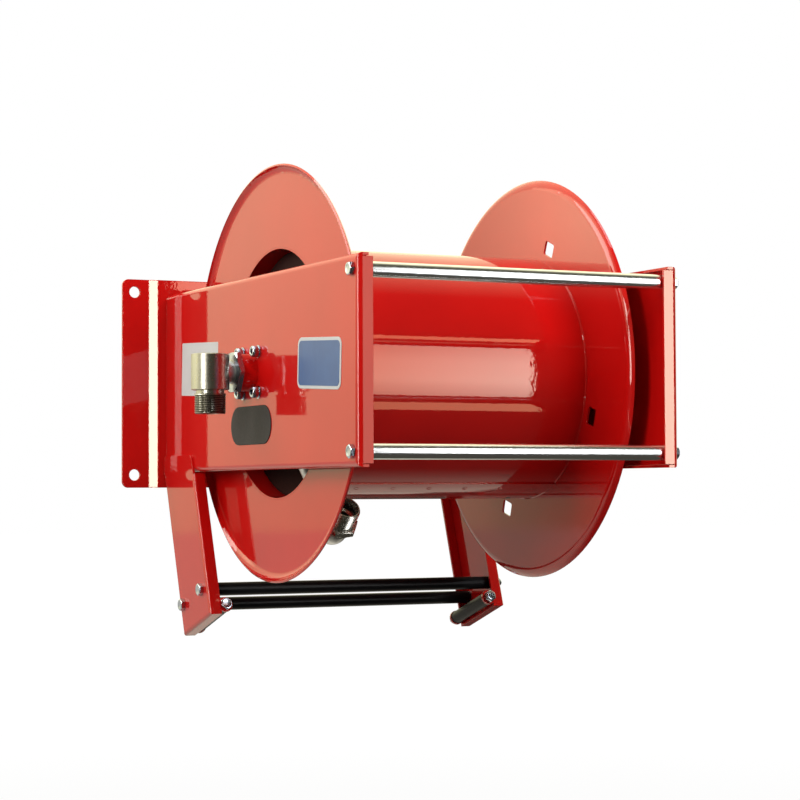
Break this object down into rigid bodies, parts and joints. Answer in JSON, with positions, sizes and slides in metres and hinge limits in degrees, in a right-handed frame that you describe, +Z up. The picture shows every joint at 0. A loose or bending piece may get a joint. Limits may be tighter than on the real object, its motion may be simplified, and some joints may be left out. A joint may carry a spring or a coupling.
{
  "type": "fire hose reel",
  "caption": "Wall-mounted spring-rewound fire hose reel: red sheet-metal drum between side plates on a wall plate, with swivel water inlet, tie rods and a roller hose guide underneath.",
  "frame": {"origin": "centre of the rectangle of wall bolts, on the wall plate's back face", "axes": "+X along the drum axis from the water inlet side to the spring side, +Y into the wall, +Z up"},
  "size_m": [0.5202, 0.568, 0.5508],
  "materials": {
    "red_paint": "gloss powder coat with slight orange peel",
    "dark_paint": "matte dark primer inside the drum's ends",
    "stainless_tube": "drawn and lightly polished",
    "zinc_plated_steel": "bright zinc plate",
    "bronze_bush": "sintered bronze",
    "machined_steel": "machined and oiled",
    "nickel_fitting": "nickel plate over brass",
    "black_roller": "satin",
    "grey_roller": "matte",
    "dark_plastic": "matte",
    "rubber_seal": "matte",
    "spring_steel": "blued",
    "galvanised_sheet": "galvanised"
  },
  "bodies": {
    "frame": {"wall_plate": "red_paint", "left_side_plate": "red_paint", "right_side_plate": "red_paint", "window_cover": "dark_plastic", "upper_tie_rod": "stainless_tube", "lower_tie_rod": "stainless_tube", "tie_rod_plugs": "zinc_plated_steel", "tie_rod_bolts": "zinc_plated_steel", "left_guide_arm": "red_paint", "right_guide_arm": "red_paint", "front_roller_axle": "zinc_plated_steel", "rear_roller_axle": "zinc_plated_steel", "roller_washers": "zinc_plated_steel", "left_end_roller_axle": "zinc_plated_steel", "right_end_roller_axle": "zinc_plated_steel", "roller_axle_nuts": "zinc_plated_steel", "bearing_flange": "red_paint", "shaft_bush": "bronze_bush", "bearing_flange_screws": "zinc_plated_steel", "bearing_flange_washers": "zinc_plated_steel", "spring_arbor": "machined_steel", "arbor_flange": "red_paint", "arbor_flange_screws": "zinc_plated_steel", "arbor_flange_washers": "zinc_plated_steel", "pawl_pin": "zinc_plated_steel", "pawl_nut": "zinc_plated_steel"},
    "drum": {"left_disc": "red_paint", "right_disc": "red_paint", "drum_barrel": "red_paint", "left_end_plate": "dark_paint", "right_end_plate": "dark_paint", "left_hub": "machined_steel", "right_hub": "machined_steel", "arbor_pilot_bush": "bronze_bush", "right_bush": "bronze_bush", "water_shaft": "machined_steel", "shaft_nut": "zinc_plated_steel", "shaft_spacer": "machined_steel", "swivel_seal": "rubber_seal", "outlet_pipe": "machined_steel", "outlet_fitting": "nickel_fitting", "left_spring_case": "galvanised_sheet", "left_spring_cover": "galvanised_sheet", "left_spiral_spring": "spring_steel", "right_spring_case": "galvanised_sheet", "right_spring_cover": "galvanised_sheet", "right_spiral_spring": "spring_steel", "ratchet_wheel": "machined_steel", "ratchet_screws": "zinc_plated_steel"},
    "inlet_swivel": {"inlet_elbow": "nickel_fitting", "swivel_snap_ring": "machined_steel"},
    "front_roller": {"front_guide_roller": "black_roller"},
    "rear_roller": {"rear_guide_roller": "black_roller"},
    "left_short_roller": {"left_end_roller": "grey_roller"},
    "right_short_roller": {"right_end_roller": "grey_roller"},
    "ratchet_pawl": {"pawl": "machined_steel", "pawl_spring": "spring_steel"}
  },
  "joints": [
    {"name": "drum_spin", "type": "hinge", "parent": "frame", "child": "drum", "pos_m": [0, -0.283, 0], "axis": [1, 0, 0], "continuous": true},
    {"name": "inlet_swivel_turn", "type": "hinge", "parent": "frame", "child": "inlet_swivel", "pos_m": [-0.246, -0.283, 0], "axis": [1, 0, 0], "continuous": true},
    {"name": "front_roller_spin", "type": "hinge", "parent": "frame", "child": "front_roller", "pos_m": [0, -0.13502, -0.25211], "axis": [1, 0, 0], "continuous": true},
    {"name": "rear_roller_spin", "type": "hinge", "parent": "frame", "child": "rear_roller", "pos_m": [0, -0.07507, -0.27276], "axis": [1, 0, 0], "continuous": true},
    {"name": "left_short_roller_spin", "type": "hinge", "parent": "frame", "child": "left_short_roller", "pos_m": [-0.1782, -0.11582, -0.28453], "axis": [0, 0.9455, -0.3256], "continuous": true},
    {"name": "right_short_roller_spin", "type": "hinge", "parent": "frame", "child": "right_short_roller", "pos_m": [0.1782, -0.11582, -0.28453], "axis": [0, 0.9455, -0.3256], "continuous": true},
    {"name": "pawl_swing", "type": "hinge", "parent": "frame", "child": "ratchet_pawl", "pos_m": [0.171, -0.283, 0.095], "axis": [1, 0, 0], "range_deg": [-45, 45], "stiffness_Nm_per_rad": 0.3}
  ]
}
